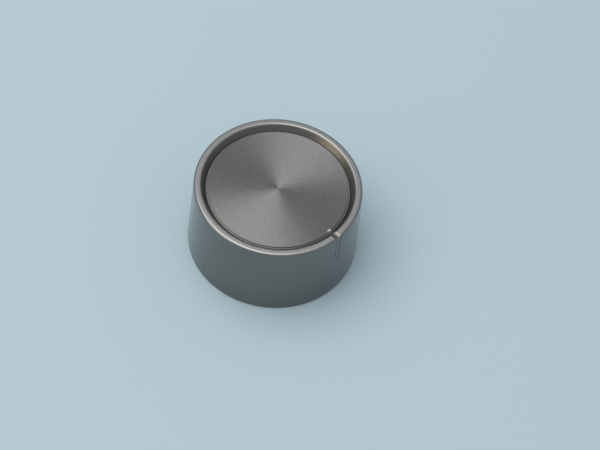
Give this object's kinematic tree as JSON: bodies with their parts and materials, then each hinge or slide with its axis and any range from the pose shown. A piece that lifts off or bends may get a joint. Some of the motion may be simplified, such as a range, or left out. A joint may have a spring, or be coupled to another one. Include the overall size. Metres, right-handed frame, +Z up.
{
  "type": "control knob",
  "caption": "Large turned aluminium push-on control knob with a round rim bead, recessed spun face, pointer slot and a split serrated hub inside.",
  "frame": {"origin": "centre of the base plane, on the knob's axis", "axes": "+Z up along the knob's axis from the open base to the face; the pointer slot is on the -Y side; +X is to the right of it"},
  "size_m": [0.038, 0.038, 0.02],
  "materials": {
    "satin_aluminium": "turned and satin anodised, natural",
    "moulded_abs": "fine spark texture, black",
    "spring_steel": "rolled strip, blued grey"
  },
  "bodies": {
    "root": {"cap": "satin_aluminium", "hub_insert": "moulded_abs", "clamp_ring": "spring_steel"}
  },
  "joints": []
}
